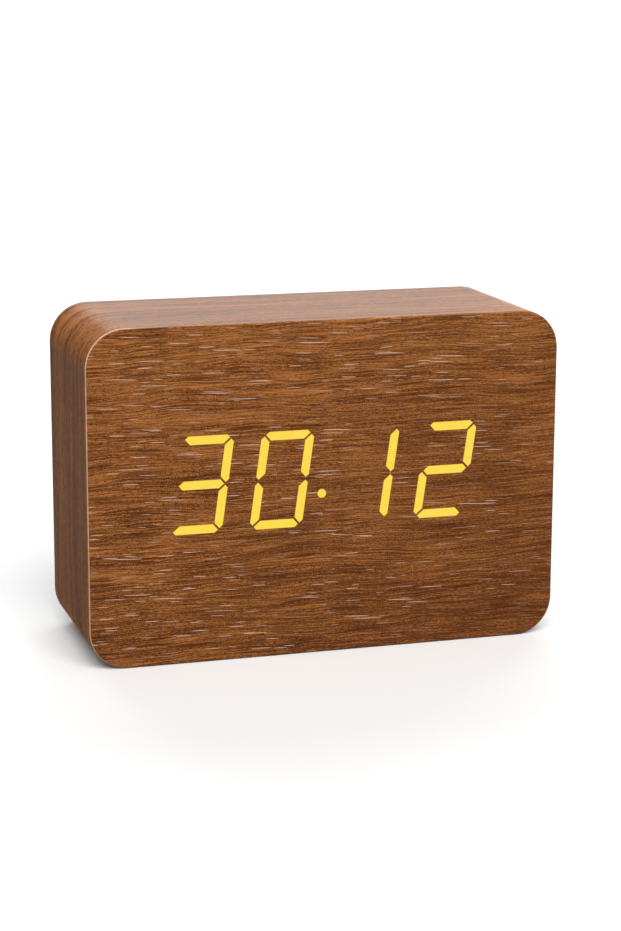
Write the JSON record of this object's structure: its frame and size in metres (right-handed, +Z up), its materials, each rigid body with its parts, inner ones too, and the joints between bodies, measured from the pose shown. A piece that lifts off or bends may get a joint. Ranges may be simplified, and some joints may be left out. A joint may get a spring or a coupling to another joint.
{
  "type": "digital desk clock",
  "caption": "Small wood-covered desk clock with rounded corners, an amber digit display shining through its front, and a rear panel with buttons, a power jack and a battery door.",
  "frame": {"origin": "under the middle of the case, on the surface that the clock stands on", "axes": "+X to the right as seen from the front, +Y from the display to the rear panel, +Z up"},
  "size_m": [0.1, 0.038, 0.0697],
  "materials": {
    "front_foil": "printed walnut-grain foil, satin",
    "side_foil": "printed walnut-grain foil with the grain round the case, satin",
    "fibreboard": "raw fibreboard, matt",
    "lit_foil": "foil lit from behind, amber",
    "reflector": "moulded, matt grey-white",
    "lens": "milky resin",
    "led": "clear yellow resin",
    "circuit_board": "green solder mask",
    "spacer": "natural nylon",
    "screw": "zinc-plated",
    "chip": "moulded epoxy, matt",
    "tinned_lead": "tinned",
    "crystal_can": "satin can",
    "capacitor_sleeve": "shrink sleeve",
    "black_part": "moulded, matt black",
    "small_chip": "glazed",
    "connector": "moulded, ivory",
    "ribbon": "soft grey insulation",
    "rear_panel": "moulded with a fine spark texture, black",
    "door": "moulded with a fine spark texture, black",
    "cell": "sleeved can with bare ends",
    "contact": "nickel-plated",
    "red_lead": "soft insulation",
    "black_lead": "soft insulation",
    "button": "moulded, satin black",
    "plunger": "moulded, natural",
    "dome": "sprung disc",
    "sensor": "satin can",
    "jack": "moulded, black",
    "jack_pin": "plated pin"
  },
  "bodies": {
    "clock_body": {"case_frame": "fibreboard", "side_foil": "side_foil", "front_board": "fibreboard", "front_foil": "front_foil", "lit_segments": "lit_foil", "display_reflector": "reflector", "segment_lenses": "lens", "led_chips": "led", "display_board": "circuit_board", "board_spacers": "spacer", "display_board_screws": "screw", "controller_chip": "chip", "controller_leads": "tinned_lead", "timing_crystal": "crystal_can", "filter_capacitor": "capacitor_sleeve", "buzzer": "black_part", "segment_resistors": "small_chip", "digit_transistors": "chip", "display_connector": "connector", "control_connector": "connector", "ribbon_cable": "ribbon", "rear_panel": "rear_panel", "panel_screws": "screw", "contact_plates": "contact", "contact_springs": "contact", "negative_lead": "black_lead", "positive_lead": "red_lead", "control_board": "circuit_board", "control_board_screws": "screw", "switch_housings": "black_part", "switch_domes": "dome", "sound_sensor": "sensor", "power_jack": "jack", "jack_pin": "jack_pin", "battery_cell_1": "cell", "battery_cell_2": "cell", "battery_cell_3": "cell"},
    "battery_door": {"battery_door": "door"},
    "set_button": {"set_button": "button", "set_plunger": "plunger"},
    "up_button": {"up_button": "button", "up_plunger": "plunger"},
    "down_button": {"down_button": "button", "down_plunger": "plunger"}
  },
  "joints": [
    {"name": "battery_door_tilt", "type": "hinge", "parent": "clock_body", "child": "battery_door", "pos_m": [0.0095, 0.018, 0.0157], "axis": [-1, 0, 0], "range_deg": [0, 60]},
    {"name": "set_button_press", "type": "slide", "parent": "clock_body", "child": "set_button", "axis": [0, -1, 0], "range_m": [0, 0.0003], "stiffness_N_per_m": 1500},
    {"name": "up_button_press", "type": "slide", "parent": "clock_body", "child": "up_button", "axis": [0, -1, 0], "range_m": [0, 0.0003], "stiffness_N_per_m": 1500},
    {"name": "down_button_press", "type": "slide", "parent": "clock_body", "child": "down_button", "axis": [0, -1, 0], "range_m": [0, 0.0003], "stiffness_N_per_m": 1500}
  ]
}
